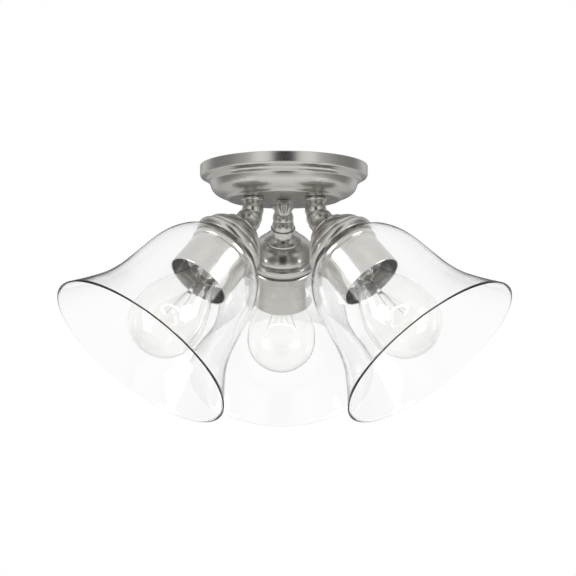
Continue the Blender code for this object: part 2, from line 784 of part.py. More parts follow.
def wire_nut(name, side):
    """A moulded cone on its side, open at the end that the leads go into."""
    mouth = 0.74 * WIRE_NUT_RADIUS
    nut = turned(
        name,
        [
            (0.0, -WIRE_NUT_LENGTH),
            (0.48 * WIRE_NUT_RADIUS, -WIRE_NUT_LENGTH),
            (0.60 * WIRE_NUT_RADIUS, -0.92 * WIRE_NUT_LENGTH),
            (0.88 * WIRE_NUT_RADIUS, -0.30 * WIRE_NUT_LENGTH),
            (WIRE_NUT_RADIUS, 0.0),
            (mouth, 0.0),
            (0.6 * mouth, -0.6 * WIRE_NUT_LENGTH),
            (0.0, -0.6 * WIRE_NUT_LENGTH),
        ],
        WIRE_NUT,
        segments=SMALL,
        closed=False,
    )
    nut.location = (side * WIRE_NUT_X, WIRE_NUT_Y, -WIRE_NUT_DEPTH)
    nut.rotation_euler = (math.radians(-90), 0.0, 0.0)


def into_nut(side, place):
    """The last two points of a lead's route: each of a joint's three leads has its own place round the
    middle of the wire nut's mouth."""
    angle = math.radians(90 + 120 * place)
    spread = 2.0 * MM
    x = side * (WIRE_NUT_X - spread * math.cos(angle))
    z = -WIRE_NUT_DEPTH + spread * math.sin(angle)
    return [Vector((x, WIRE_NUT_Y - 5.0 * MM, z)), Vector((x, WIRE_NUT_Y + 3.0 * MM, z))]


def route_in_elbow(frame, offset):
    """From the back of the socket through the elbow to just over the canopy's plate."""
    start = BARREL_END + STUB_LENGTH + 8.0 * MM
    trim = 5.0 * MM
    top = CANOPY_DEPTH - SPIGOT_LENGTH
    places = []
    for s in (start, 0.6 * start, trim):
        places.append((s * math.sin(TILT), BEND_DEPTH + s * math.cos(TILT)))
    places.append((0.16 * trim, BEND_DEPTH - 0.1 * trim))
    places += [(0.0, BEND_DEPTH - trim), (0.0, top - 1.0 * MM)]
    return [frame.matrix_world @ Vector((offset, out, -down)) for out, down in places]


def leads():
    """A live and a neutral lead from each lampholder, through the elbow, to the two wire nuts in the
    canopy. The live leads pass over the neutral ones."""
    over = 7.0 * MM
    under = 15.5 * MM
    front = -0.53 * ARM_CIRCLE
    for name, frame, _ in arms:
        for label, side, finish in (("live", -1, BLACK_LEAD), ("neutral", 1, WHITE_LEAD)):
            offset = side * LEAD_OFFSET if name == "back" else -side * LEAD_OFFSET
            route = route_in_elbow(frame, offset)
            start = route[-1]
            nut_x = side * WIRE_NUT_X
            if name == "back":
                place = 2
                way = [
                    (side * 5.0 * MM, 0.73 * ARM_CIRCLE, -over),
                    (side * 8.5 * MM, 0.3 * ARM_CIRCLE, -over),
                    (side * 10.5 * MM, -0.1 * ARM_CIRCLE, -over),
                    (side * 15.5 * MM, -0.2 * ARM_CIRCLE, -1.3 * over),
                ]
            elif start.x * nut_x > 0:
                place = 1
                way = [(start.x * 0.96, start.y * 0.62, -0.72 * WIRE_NUT_DEPTH)]
            else:
                place = 0
                level = over if label == "live" else under
                way = [
                    (0.55 * start.x, front, -0.5 * (level + WIRE_NUT_DEPTH)),
                    (0.0, front, -level),
                    (0.6 * nut_x, front, -level),
                    (nut_x, 0.75 * front, -0.5 * (level + WIRE_NUT_DEPTH)),
                ]
            route += [Vector(point) for point in way] + into_nut(side, place)
            wire("lead_" + label + "_" + name, route, LEAD_RADIUS, finish)


# ---------------------------------------------------------------- assembly

arms = []
for name, turn in zip(("back", "left", "right"), (0, 1, -1)):
    azimuth = turn * 2 * math.pi / ARM_COUNT
    frame = bpy.data.objects.new("arm_frame_" + name, None)
    frame.location = (-ARM_CIRCLE * math.sin(azimuth), ARM_CIRCLE * math.cos(azimuth), 0.0)
    frame.rotation_euler = (0.0, 0.0, azimuth)
    parts.objects.link(frame)
    axis = bpy.data.objects.new("light_axis_" + name, None)
    axis.parent = frame
    axis.location = (0.0, 0.0, -BEND_DEPTH)
    axis.rotation_euler = (TILT, 0.0, 0.0)
    parts.objects.link(axis)
    arms.append((name, frame, axis))
bpy.context.view_layer.update()

crossbar()
ground_screw()
threaded_rod()
canopy()
finial()
for name, frame, axis in arms:
    elbow(name, frame, axis)
    holder(name, axis)
    lampholder(name, axis)
    retaining_cup(name, axis)
    glass_bell(name, axis)
    bulb_glass(name, axis)
    bulb_base(name, axis)
    bulb_mount(name, axis)
for name, side in (("wire_nut_live", -1), ("wire_nut_neutral", 1)):
    wire_nut(name, side)
leads()
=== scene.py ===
"""A three-light semi-flush ceiling light in brushed nickel with clear glass bells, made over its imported
frame. Lengths are in metres, and a turned piece's outline is (radius, distance down its axis) in
millimetres."""

import json
import math

import bmesh
import bpy
from mathutils import Matrix, Vector


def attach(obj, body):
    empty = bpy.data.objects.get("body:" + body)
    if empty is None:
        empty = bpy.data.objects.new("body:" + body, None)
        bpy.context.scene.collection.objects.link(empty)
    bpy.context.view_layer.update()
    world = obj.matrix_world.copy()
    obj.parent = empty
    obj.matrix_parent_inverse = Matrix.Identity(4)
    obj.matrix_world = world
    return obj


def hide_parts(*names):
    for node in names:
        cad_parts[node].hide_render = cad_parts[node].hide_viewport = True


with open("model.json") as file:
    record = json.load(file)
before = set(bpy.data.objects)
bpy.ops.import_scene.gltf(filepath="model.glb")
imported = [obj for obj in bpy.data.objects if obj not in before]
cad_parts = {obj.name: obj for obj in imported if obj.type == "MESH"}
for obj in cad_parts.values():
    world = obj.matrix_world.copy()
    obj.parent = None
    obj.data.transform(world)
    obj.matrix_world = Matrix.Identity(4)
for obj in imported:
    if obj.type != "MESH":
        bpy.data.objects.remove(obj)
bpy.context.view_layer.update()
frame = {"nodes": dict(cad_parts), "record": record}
joints = {joint["name"]: joint for joint in frame["record"]["behaviour"]["joints"]}

# ---- Room ------------------------------------------------------------------------------------------
# The fitting hangs in a plain white room over a pale floor. Soft light comes from all round, and is
# brightest to either side of a dark gap in front. The metal mirrors the walls and not the soft boxes.

room = bpy.data.worlds.new("white room")
bpy.context.scene.world = room
room.use_nodes = True
walls = room.node_tree
surround = walls.nodes["Background"]
direction = walls.nodes.new("ShaderNodeTexCoord")
split = walls.nodes.new("ShaderNodeSeparateXYZ")
walls.links.new(direction.outputs["Generated"], split.inputs[0])
forward = walls.nodes.new("ShaderNodeMath")
forward.operation = "MULTIPLY"
forward.inputs[1].default_value = -1.0
walls.links.new(split.outputs["Y"], forward.inputs[0])
bearing = walls.nodes.new("ShaderNodeMath")
bearing.operation = "ARCTAN2"
walls.links.new(split.outputs["X"], bearing.inputs[0])
walls.links.new(forward.outputs[0], bearing.inputs[1])
turned_away = walls.nodes.new("ShaderNodeMath")
turned_away.operation = "ABSOLUTE"
walls.links.new(bearing.outputs[0], turned_away.inputs[0])
share = walls.nodes.new("ShaderNodeMath")
share.operation = "DIVIDE"
share.inputs[1].default_value = math.pi
walls.links.new(turned_away.outputs[0], share.inputs[0])
panels = walls.nodes.new("ShaderNodeValToRGB")
panels.color_ramp.interpolation = "EASE"
stops = [
    (0.0, 0.03), (0.06, 0.05), (0.12, 0.95), (0.20, 1.0), (0.30, 0.52), (0.46, 0.30), (0.60, 0.26),
    (0.78, 0.66), (1.0, 0.20),
]
while len(panels.color_ramp.elements) < len(stops):
    panels.color_ramp.elements.new(0.5)
for stop, (place, grey) in zip(panels.color_ramp.elements, stops):
    stop.position = place
    stop.color = (grey, grey * 0.992, grey * 0.98, 1.0)
walls.links.new(share.outputs[0], panels.inputs[0])
overhead = walls.nodes.new("ShaderNodeMapRange")
overhead.interpolation_type = "SMOOTHSTEP"
overhead.inputs["From Min"].default_value = 0.70
overhead.inputs["From Max"].default_value = 0.95
walls.links.new(split.outputs["Z"], overhead.inputs["Value"])
with_ceiling = walls.nodes.new("ShaderNodeMix")
with_ceiling.data_type = "RGBA"
with_ceiling.inputs["B"].default_value = (0.9, 0.9, 0.89, 1.0)
walls.links.new(overhead.outputs[0], with_ceiling.inputs["Factor"])
walls.links.new(panels.outputs[0], with_ceiling.inputs["A"])
underneath = walls.nodes.new("ShaderNodeMapRange")
underneath.interpolation_type = "SMOOTHSTEP"
underneath.inputs["From Min"].default_value = -0.60
underneath.inputs["From Max"].default_value = -0.95
walls.links.new(split.outputs["Z"], underneath.inputs["Value"])
with_floor = walls.nodes.new("ShaderNodeMix")
with_floor.data_type = "RGBA"
with_floor.inputs["B"].default_value = (0.72, 0.71, 0.69, 1.0)
walls.links.new(underneath.outputs[0], with_floor.inputs["Factor"])
walls.links.new(with_ceiling.outputs["Result"], with_floor.inputs["A"])
ray = walls.nodes.new("ShaderNodeLightPath")
straight = walls.nodes.new("ShaderNodeMath")
straight.operation = "MAXIMUM"
walls.links.new(ray.outputs["Is Camera Ray"], straight.inputs[0])
walls.links.new(ray.outputs["Is Transmission Ray"], straight.inputs[1])
backdrop = walls.nodes.new("ShaderNodeMix")
backdrop.data_type = "RGBA"
backdrop.inputs["B"].default_value = (1.0, 1.0, 1.0, 1.0)
walls.links.new(straight.outputs[0], backdrop.inputs["Factor"])
walls.links.new(with_floor.outputs["Result"], backdrop.inputs["A"])
walls.links.new(backdrop.outputs["Result"], surround.inputs["Color"])

floor_mesh = bpy.data.meshes.new("floor")
reach = 2.5
floor_mesh.from_pydata(
    [(-reach, -reach, 0), (reach, -reach, 0), (reach, reach, 0), (-reach, reach, 0)], [], [(0, 1, 2, 3)]
)
floor = bpy.data.objects.new("floor", floor_mesh)
floor.location.z = -1.1
bpy.context.scene.collection.objects.link(floor)
floor_paint = bpy.data.materials.new("pale floor")
floor_paint.use_nodes = True
floor_paint.node_tree.nodes["Principled BSDF"].inputs["Base Color"].default_value = (0.8, 0.8, 0.79, 1)
floor_paint.node_tree.nodes["Principled BSDF"].inputs["Roughness"].default_value = 0.8
floor_mesh.materials.append(floor_paint)

for name, place, size, power in (
    ("left soft box", (-1.5, -0.9, 0.3), 0.9, 20.0),
    ("right soft box", (1.5, -0.9, 0.3), 0.9, 20.0),
):
    light = bpy.data.lights.new(name, "AREA")
    light.size = size
    light.energy = power
    lamp = bpy.data.objects.new(name, light)
    lamp.location = place
    lamp.rotation_euler = (Vector((0, 0, -0.6)) - lamp.location).to_track_quat("-Z", "Y").to_euler()
    lamp.visible_glossy = False
    bpy.context.scene.collection.objects.link(lamp)

camera = bpy.data.objects.new("camera", bpy.data.cameras.new("camera"))
camera.data.lens = 110.0
camera.data.sensor_width = 36.0
camera.location = (-0.0295, -1.4510, -0.2615)
camera.rotation_euler = (math.radians(96.25), 0.0, math.radians(-1.3))
bpy.context.scene.collection.objects.link(camera)
bpy.context.scene.camera = camera
bpy.context.scene.view_settings.view_transform = "Standard"
bpy.context.scene.cycles.max_bounces = 32
bpy.context.scene.cycles.transmission_bounces = 32
bpy.context.scene.cycles.transparent_max_bounces = 32

# ---- Canopy ----------------------------------------------------------------------------------------
# A dish spun from one disc of steel and nickel plated. Its edge is rolled in against the ceiling, a bead
# parts the straight band from the bowl, and a flat mounting plate closes it underneath. The plating is
# brushed round and round on the lathe.

MM = 0.001


def rounded(corners, steps=5):
    """The outline with each corner (radius, drop, rounding) turned over a short arc."""
    outline = []
    for i, (radius, drop, rounding) in enumerate(corners):
        here = Vector((radius, drop))
        if rounding == 0 or i in (0, len(corners) - 1):
            outline.append(here)
            continue
        before = Vector(corners[i - 1][:2]) - here
        after = Vector(corners[i + 1][:2]) - here
        start = here + before * min(0.5, rounding / before.length)
        end = here + after * min(0.5, rounding / after.length)
        for step in range(steps + 1):
            t = step / steps
            outline.append(start * (1 - t) ** 2 + here * (2 * t * (1 - t)) + end * t * t)
    return outline


def lathe(name, outline, sides=96, closed=True):
    """A turned mesh: a closed outline is the section of a ring, and an open one ends on the axis.

    Its map goes round the axis in turns and along the outline in metres."""
    work = bmesh.new()
    way_round = work.loops.layers.uv.new("round and along")
    rings = []
    along = []
    for point in outline:
        step = (Vector(point[:2]) - Vector(before[:2])).length * MM if rings else 0.0
        along.append(along[-1] + step if rings else 0.0)
        before = point
        if point[0] < 1e-6:
            rings.append([work.verts.new((0, 0, -point[1] * MM))] * sides)
            continue
        ring = []
        for side in range(sides):
            angle = math.tau * side / sides
            x = point[0] * MM * math.cos(angle)
            y = point[0] * MM * math.sin(angle)
            ring.append(work.verts.new((x, y, -point[1] * MM)))
        rings.append(ring)
    pairs = list(zip(rings, rings[1:], along, along[1:]))
    if closed:
        pairs.append((rings[-1], rings[0], along[-1], along[-1] + MM))
    for upper, lower, high, low in pairs:
        for side in range(sides):
            nxt = (side + 1) % sides
            start = side / sides
            end = (side + 1) / sides
            corners = {
                upper[side]: (start, high), lower[side]: (start, low), lower[nxt]: (end, low),
                upper[nxt]: (end, high),
            }
            if len(corners) > 2:
                face = work.faces.new(list(corners))
                for loop in face.loops:
                    loop[way_round].uv = corners[loop.vert]
    bmesh.ops.remove_doubles(work, verts=work.verts, dist=1e-7)
    bmesh.ops.recalc_face_normals(work, faces=work.faces)
    mesh = bpy.data.meshes.new(name)
    work.to_mesh(mesh)
    work.free()
    mesh.shade_smooth()
    mesh.set_sharp_from_angle(angle=math.radians(40))
    return mesh


def piece(name, mesh, finish, body, stands_for, place=Matrix()):
    """Puts a finished piece in its place on its body, in place of the frame's plain one."""
    mesh.transform(place)
    made = bpy.data.objects.new(name, mesh)
    bpy.context.scene.collection.objects.link(made)
    mesh.materials.clear()
    mesh.materials.append(finish)
    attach(made, body)
    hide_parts(*stands_for)
    return made


def brushed_nickel(name, colour, roughness, stretch):
    """Nickel plate with fine rings from the brushing, and a highlight that spreads across them."""
    finish = bpy.data.materials.new(name)
    finish.use_nodes = True
    tree = finish.node_tree
    shader = tree.nodes["Principled BSDF"]
    shader.inputs["Metallic"].default_value = 1.0
    shader.inputs["Anisotropic"].default_value = stretch
    shader.inputs["Anisotropic Rotation"].default_value = 0.25
    tangent = tree.nodes.new("ShaderNodeTangent")
    tangent.direction_type = "UV_MAP"
    tangent.uv_map = "round and along"
    tree.links.new(tangent.outputs[0], shader.inputs["Tangent"])
    place = tree.nodes.new("ShaderNodeTexCoord")
    parted = tree.nodes.new("ShaderNodeSeparateXYZ")
    tree.links.new(place.outputs["UV"], parted.inputs[0])
    grain = tree.nodes.new("ShaderNodeTexNoise")
    grain.noise_dimensions = "1D"
    grain.inputs["Scale"].default_value = 1800.0
    grain.inputs["Detail"].default_value = 4.0
    tree.links.new(parted.outputs["Y"], grain.inputs["W"])
    clouds = tree.nodes.new("ShaderNodeTexNoise")
    clouds.inputs["Scale"].default_value = 45.0
    clouds.inputs["Detail"].default_value = 3.0
    tree.links.new(place.outputs["Object"], clouds.inputs["Vector"])
    rough = tree.nodes.new("ShaderNodeMapRange")
    rough.inputs["To Min"].default_value = roughness - 0.06
    rough.inputs["To Max"].default_value = roughness + 0.06
    tree.links.new(grain.outputs["Fac"], rough.inputs["Value"])
    tree.links.new(rough.outputs[0], shader.inputs["Roughness"])
    tint = tree.nodes.new("ShaderNodeMix")
    tint.data_type = "RGBA"
    tint.inputs["A"].default_value = (*[c * 0.97 for c in colour], 1.0)
    tint.inputs["B"].default_value = (*[c * 1.03 for c in colour], 1.0)
    tree.links.new(clouds.outputs["Fac"], tint.inputs["Factor"])
    tree.links.new(tint.outputs["Result"], shader.inputs["Base Color"])
    bump = tree.nodes.new("ShaderNodeBump")
    bump.inputs["Strength"].default_value = 0.05
    bump.inputs["Distance"].default_value = 0.0001
    tree.links.new(grain.outputs["Fac"], bump.inputs["Height"])
    tree.links.new(bump.outputs[0], shader.inputs["Normal"])
    return finish


NICKEL = brushed_nickel("brushed nickel", (0.62, 0.605, 0.58), 0.25, 0.4)

canopy_outside = [
    (66.5, 0.0, 0.0), (70.0, 0.0, 0.9), (70.0, 8.2, 0.9), (69.2, 9.9, 0.7), (66.6, 11.0, 1.0),
    (65.0, 11.6, 0.7), (64.2, 13.0, 0.8), (62.6, 14.0, 0.6), (61.9, 14.6, 0.6), (61.2, 17.5, 3.0),
    (59.4, 21.6, 3.0), (55.2, 24.9, 3.0), (49.2, 27.0, 0.8), (47.2, 28.6, 0.9), (45.6, 29.0, 0.5),
    (44.6, 29.0, 0.2), (3.4, 29.0, 0.0),
]
canopy_inside = [
    (3.4, 28.0, 0.0), (46.0, 28.0, 0.8), (54.5, 23.9, 3.0), (58.4, 20.9, 3.0), (60.2, 17.0, 2.0),
    (60.9, 13.6, 0.6), (63.4, 12.3, 0.6), (65.4, 10.1, 0.8), (68.6, 8.6, 0.8), (69.0, 1.0, 0.4),
    (66.5, 1.0, 0.0),
]
canopy_mesh = lathe("canopy shell", rounded(canopy_outside) + rounded(canopy_inside), sides=192)
piece("canopy_shell", canopy_mesh, NICKEL, "canopy_and_arms", ["canopy"])

# ---- Finial ----------------------------------------------------------------------------------------
# The cap nut in the middle of the plate, turned from brass, fluted and nickel plated. It screws up the
# threaded rod and holds the whole fitting to the ceiling.

FLUTES = 10
flare = [
    (3.4, 38.4, 0.0), (3.4, 29.3, 0.0), (5.6, 29.3, 0.3), (6.0, 30.2, 0.5), (7.3, 31.4, 1.0),
    (8.1, 33.8, 1.6), (7.6, 36.4, 1.6), (6.1, 38.9, 1.5), (4.1, 41.0, 1.2), (2.4, 42.2, 0.6),
    (0.0, 42.3, 0.0),
]
finial_mesh = lathe("finial", rounded(flare) + [(0.0, 38.4)], sides=FLUTES * 14)
for vertex in finial_mesh.vertices:
    out = Vector((vertex.co.x, vertex.co.y))
    if out.length > 3.6 * MM or vertex.co.z < -0.0386:
        turn = math.atan2(out.x, -out.y)
        groove = abs(math.cos(FLUTES * turn / 2)) ** 2
        depth = 1.3 * MM * min(1.0, out.length / (7.0 * MM)) * groove
        out *= 1 - depth / max(out.length, MM)
        vertex.co.x, vertex.co.y = out
piece("finial_nut", finial_mesh, NICKEL, "finial", ["finial"])

# ---- Elbows ----------------------------------------------------------------------------------------
# Each arm is one short casting, nickel plated: a collar under the plate, a ball, and a barrel that comes
# out of the ball along the light's own axis and goes into the holder's collar.

lights = {}
for name in ("back", "left", "right"):
    joint = joints["cup_turn_" + name]
    axis = Vector(joint["axis"])
    bend = Vector(joint["pos_m"])
    lean = (-axis).to_track_quat("Z", "Y").to_matrix().to_4x4()
    lights[name] = Matrix.Translation(bend) @ lean

stem_outline = [
    (0.0, 20.8, 0.0), (4.9, 20.8, 0.0), (4.9, 29.3, 0.0), (8.7, 29.3, 0.3), (9.1, 30.0, 0.5),
    (9.1, 31.2, 0.5), (8.6, 31.9, 0.3), (7.5, 32.2, 0.3), (7.9, 32.7, 0.3), (7.8, 33.4, 0.4),
]
barrel_outline = [
    (0.0, -5.4, 0.0), (5.4, -4.8, 2.4), (8.6, -1.6, 2.4), (9.5, 2.0, 2.0), (9.4, 4.9, 0.6),
    (8.6, 6.1, 0.4), (7.6, 6.6, 0.3), (8.2, 7.2, 0.3), (8.2, 8.2, 0.4), (7.0, 8.9, 0.3),
    (7.0, 10.0, 0.0), (4.9, 10.0, 0.0), (4.9, 27.0, 0.0), (0.0, 27.0, 0.0),
]
ball_radius = 8.9
ball_centre = 39.5
for name, place in lights.items():
    ball = []
    for turn in range(-40, 90, 5):
        angle = math.radians(turn)
        ball.append((ball_radius * math.cos(angle), ball_centre + ball_radius * math.sin(angle)))
    ball.append((0.0, ball_centre + ball_radius))
    stem = lathe("stem " + name, rounded(stem_outline)[:-1] + ball, sides=64, closed=False)
    above = Vector((place.translation.x, place.translation.y, 0.0))
    stem.transform(place.inverted() @ Matrix.Translation(above))
    barrel = lathe("barrel " + name, rounded(barrel_outline), sides=64, closed=False)
    joined = bmesh.new()
    joined.from_mesh(barrel)
    joined.from_mesh(stem)
    joined.to_mesh(barrel)
    joined.free()
    barrel.shade_smooth()
    barrel.set_sharp_from_angle(angle=math.radians(40))
    piece(
        "arm_casting_" + name, barrel, NICKEL, "canopy_and_arms", ["elbow_" + name], place
    )

# ---- Holders ---------------------------------------------------------------------------------------
# The holder is a turned shell in nickel: a collar with the elbow let into it, a ring, a dome and a round
# flange that the glass sits under. Its threaded neck goes on down through the hole in the glass.

holder_outside = [
    (9.7, 10.3, 0.0), (9.7, 4.6, 0.2), (10.3, 4.6, 0.3), (10.5, 5.4, 0.3), (10.4, 9.0, 1.5),
    (11.2, 11.6, 1.5), (13.6, 13.9, 1.2), (15.2, 14.8, 0.3), (16.0, 15.3, 0.3), (16.1, 16.8, 0.4),
    (15.2, 17.3, 0.2), (16.4, 17.6, 0.6), (20.3, 19.7, 2.2), (24.2, 23.4, 2.6), (26.3, 27.2, 2.2),
    (26.5, 29.6, 0.6), (26.3, 30.3, 0.2), (27.6, 30.6, 0.5), (29.6, 31.8, 0.9), (30.5, 34.6, 1.5),
    (30.1, 37.2, 1.0), (29.0, 38.8, 0.5), (24.4, 38.8, 0.1),
]
holder_neck = [(24.4 + 0.25 * (1 if i % 2 else -1), 39.6 + i * 0.5, 0.1) for i in range(24)]
holder_inside = [
    (24.4, 52.0, 0.2), (23.1, 52.0, 0.2), (23.1, 26.0, 2.0), (19.0, 21.0, 2.0), (5.3, 19.5, 0.0),
    (5.3, 10.3, 0.0),
]
for name, place in lights.items():
    shell = lathe("holder " + name, rounded(holder_outside + holder_neck + holder_inside), sides=128)
    piece(
        "holder_shell_" + name, shell, NICKEL, "canopy_and_arms", ["holder_" + name], place
    )

# ---- Lampholders -----------------------------------------------------------------------------------
# Glazed porcelain bodies with a brass screw shell let into them. The shell's thread is rolled, so its
# rings show inside the body's mouth.


def speckled(name, colour, roughness, metallic=0.0, spread=0.05, scale=300.0, bump_height=0.00005):
    """A finish with slight uneven colour and gloss, and a faint unevenness of the surface."""
    finish = bpy.data.materials.new(name)
    finish.use_nodes = True
    tree = finish.node_tree
    shader = tree.nodes["Principled BSDF"]
    shader.inputs["Metallic"].default_value = metallic
    place = tree.nodes.new("ShaderNodeTexCoord")
    grain = tree.nodes.new("ShaderNodeTexNoise")
    grain.inputs["Scale"].default_value = scale
    grain.inputs["Detail"].default_value = 4.0
    tree.links.new(place.outputs["Object"], grain.inputs["Vector"])
    tint = tree.nodes.new("ShaderNodeMix")
    tint.data_type = "RGBA"
    tint.inputs["A"].default_value = (*[c * (1 - spread) for c in colour], 1.0)
    tint.inputs["B"].default_value = (*[min(1.0, c * (1 + spread)) for c in colour], 1.0)
    tree.links.new(grain.outputs["Fac"], tint.inputs["Factor"])
    tree.links.new(tint.outputs["Result"], shader.inputs["Base Color"])
    rough = tree.nodes.new("ShaderNodeMapRange")
    rough.inputs["To Min"].default_value = roughness * 0.85
    rough.inputs["To Max"].default_value = roughness * 1.15
    tree.links.new(grain.outputs["Fac"], rough.inputs["Value"])
    tree.links.new(rough.outputs[0], shader.inputs["Roughness"])
    bump = tree.nodes.new("ShaderNodeBump")
    bump.inputs["Strength"].default_value = 0.3
    bump.inputs["Distance"].default_value = bump_height
    tree.links.new(grain.outputs["Fac"], bump.inputs["Height"])
    tree.links.new(bump.outputs[0], shader.inputs["Normal"])
    return finish


PORCELAIN = speckled("glazed porcelain", (0.80, 0.78, 0.73), 0.22, spread=0.03)
BRASS = speckled("brass", (0.78, 0.60, 0.32), 0.28, metallic=1.0, spread=0.08)

body_outline = [
    (5.3, 19.8, 0.0), (13.3, 19.8, 1.0), (19.0, 25.3, 2.0), (19.0, 66.3, 0.8), (14.2, 66.3, 0.5),
    (14.2, 40.2, 0.0), (3.0, 40.2, 0.0), (3.0, 29.0, 0.0), (5.3, 29.0, 0.0),
]
thread_pitch = 3.63
for name, place in lights.items():
    porcelain = lathe("porcelain " + name, rounded(body_outline), sides=96)
    piece(
        "porcelain_" + name, porcelain, PORCELAIN, "canopy_and_arms", ["socket_body_" + name],
        place,
    )
    rolled = []
    for step in range(70):
        drop = 41.8 + 23.0 * step / 69
        rolled.append((13.62 + 0.2 * math.sin(math.tau * drop / thread_pitch), drop))
    inner = [(radius - 0.35, drop) for radius, drop in reversed(rolled)]
    shell = lathe("screw shell " + name, rolled + inner, sides=72)
    piece("screw_shell_" + name, shell, BRASS, "canopy_and_arms", ["socket_shell_" + name], place)

# ---- Retaining cups --------------------------------------------------------------------------------
# A spun cup in nickel, open below. Its flange clamps the glass up against the holder, and the thread in
# its neck runs on the holder's.

cup_outline = [
    (24.8, 42.0, 0.1), (27.6, 42.0, 0.3), (28.1, 42.8, 0.4), (28.1, 45.8, 0.6), (27.4, 46.8, 0.4),
    (26.3, 47.0, 0.2), (26.2, 49.0, 0.5), (26.7, 77.3, 0.3), (26.5, 77.7, 0.1), (25.9, 77.7, 0.1),
    (25.7, 77.3, 0.1), (25.2, 51.2, 0.4), (24.8, 50.4, 0.1),
]
for name, place in lights.items():
    cup = lathe("cup " + name, rounded(cup_outline), sides=128)
    piece(
        "cup_shell_" + name, cup, NICKEL, "cup_" + name, ["retaining_cup_" + name], place
    )

# ---- Glass bells -----------------------------------------------------------------------------------
# Clear blown glass, thick at the neck and thinner toward the flared mouth, whose edge is ground round.


def flowing(points, steps=6):
    """A smooth curve through every point."""
    points = [Vector(point) for point in points]
    ends = [points[0] * 2 - points[1], *points, points[-1] * 2 - points[-2]]
    curve = []
    for a, b, c, d in zip(ends, ends[1:], ends[2:], ends[3:]):
        for step in range(steps):
            t = step / steps
            curve.append(
                b
                + (c - a) * (t / 2)
                + (a * 2 - b * 5 + c * 4 - d) * (t * t / 2)
                + (b * 3 - a - c * 3 + d) * (t * t * t / 2)
            )
    curve.append(points[-1])
    return curve


def inner_wall(outline, first, last):
    """The same outline moved in by the wall, which goes from its first thickness to its last."""
    moved = []
    for i, point in enumerate(outline):
        before = outline[max(i - 1, 0)]
        after = outline[min(i + 1, len(outline) - 1)]
        along = (after - before).normalized()
        wall = first + (last - first) * i / (len(outline) - 1)
        moved.append(point + Vector((-along.y, along.x)) * wall)
    return moved


def clear_glass(name, index, tint):
    finish = bpy.data.materials.new(name)
    finish.use_nodes = True
    tree = finish.node_tree
    shader = tree.nodes["Principled BSDF"]
    shader.inputs["Base Color"].default_value = (*tint, 1.0)
    shader.inputs["Transmission Weight"].default_value = 1.0
    shader.inputs["Roughness"].default_value = 0.0
    shader.inputs["IOR"].default_value = index
    place = tree.nodes.new("ShaderNodeTexCoord")
    waves = tree.nodes.new("ShaderNodeTexNoise")
    waves.inputs["Scale"].default_value = 22.0
    waves.inputs["Detail"].default_value = 1.0
    tree.links.new(place.outputs["Object"], waves.inputs["Vector"])
    bump = tree.nodes.new("ShaderNodeBump")
    bump.inputs["Strength"].default_value = 0.10
    bump.inputs["Distance"].default_value = 0.001
    tree.links.new(waves.outputs["Fac"], bump.inputs["Height"])
    tree.links.new(bump.outputs[0], shader.inputs["Normal"])
    return finish


BELL_GLASS = clear_glass("clear bell glass", 1.4, (0.975, 0.977, 0.975))

bell_outside = [
    (28.0, 39.1), (29.9, 40.5), (37.5, 46.6), (44.8, 57.9), (49.7, 72.0), (54.0, 95.9),
    (57.0, 110.9), (62.4, 126.0), (71.7, 142.1), (81.0, 156.0),
]
for name, place in lights.items():
    outside = flowing(bell_outside)
    inside = inner_wall(outside, 2.5, 1.1)
    edge = []
    middle = (outside[-1] + inside[-1]) / 2
    out = (outside[-1] - inside[-1]) / 2
    beyond = Vector((-out.y, out.x))
    for step in range(1, 6):
        angle = math.pi * step / 6
        edge.append(middle + out * math.cos(angle) + beyond * math.sin(angle))
    neck = [Vector((24.9, 41.7)), Vector((24.9, 39.1))]
    section = outside + edge + inside[::-1] + neck
    bell = lathe("bell " + name, section, sides=160)
    piece("bell_" + name, bell, BELL_GLASS, "shade_" + name, ["glass_bell_" + name], place)

# ---- Lamps -----------------------------------------------------------------------------------------
# Clear lamps of the common household shape: thin blown glass, a rolled aluminium screw cap, and a flared
# glass stem that carries two wires, some fine supports and a coiled filament.

LAMP_GLASS = clear_glass("clear lamp glass", 1.45, (0.99, 0.988, 0.98))
CAP = speckled("cap aluminium", (0.74, 0.735, 0.72), 0.3, metallic=1.0, spread=0.04)
WIRE = speckled("nickel wire", (0.45, 0.43, 0.40), 0.35, metallic=1.0, spread=0.05)
GLOW = speckled("hot tungsten", (1.0, 0.85, 0.62), 0.5, spread=0.02)
GLOW.node_tree.nodes["Principled BSDF"].inputs["Emission Color"].default_value = (1.0, 0.80, 0.52, 1.0)
GLOW.node_tree.nodes["Principled BSDF"].inputs["Emission Strength"].default_value = 6.0

bulb_neck = [(12.2, 64.9), (12.2, 70.6), (12.9, 72.0)]
bulb_side = [(12.9, 72.0), (16.0, 79.4), (23.4, 94.3), (28.6, 109.2), (29.95, 119.6)]
bulb_radius = 30.0
bulb_centre = 121.8
bulb_round = []
for turn in range(2, 88, 5):
    angle = math.radians(turn)
    bulb_round.append((bulb_radius * math.cos(angle), bulb_centre + bulb_radius * math.sin(angle)))


def tube(name, route, radius, sides=6):
    """A round wire along a list of points."""
    work = bmesh.new()
    rings = []
    for i, point in enumerate(route):
        along = (route[min(i + 1, len(route) - 1)] - route[max(i - 1, 0)]).normalized()
        across = along.orthogonal().normalized()
        if rings:
            across = (last_across - along * last_across.dot(along)).normalized()
        last_across = across
        third = along.cross(across)
        ring = []
        for side in range(sides):
            angle = math.tau * side / sides
            ring.append(work.verts.new(point + (across * math.cos(angle) + third * math.sin(angle)) * radius))
        rings.append(ring)
    for upper, lower in zip(rings, rings[1:]):
        for side in range(sides):
            nxt = (side + 1) % sides
            work.faces.new((upper[side], lower[side], lower[nxt], upper[nxt]))
    work.faces.new(rings[0][::-1])
    work.faces.new(rings[-1])
    bmesh.ops.recalc_face_normals(work, faces=work.faces)
    return work


